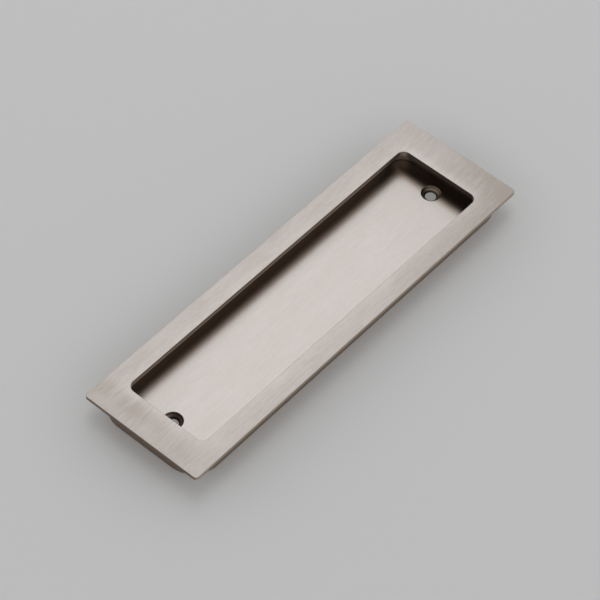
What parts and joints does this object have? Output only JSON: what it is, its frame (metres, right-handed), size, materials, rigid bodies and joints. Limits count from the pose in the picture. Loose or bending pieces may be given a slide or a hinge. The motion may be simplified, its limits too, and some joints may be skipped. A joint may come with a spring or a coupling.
{
  "type": "pocket door pull",
  "caption": "Rectangular flush pull in brushed metal: thin flange, deep finger recess undercut below its lip, countersunk screw holes in the recess floor.",
  "frame": {"origin": "centre of the back face, the deepest face in the door", "axes": "+Z out of the door through the front face, +X along the length, +Y across the width"},
  "size_m": [0.2036, 0.06, 0.011],
  "materials": {
    "satin_nickel": "satin nickel, brushed along the length"
  },
  "bodies": {
    "root": {"flush_pull": "satin_nickel"}
  },
  "joints": []
}
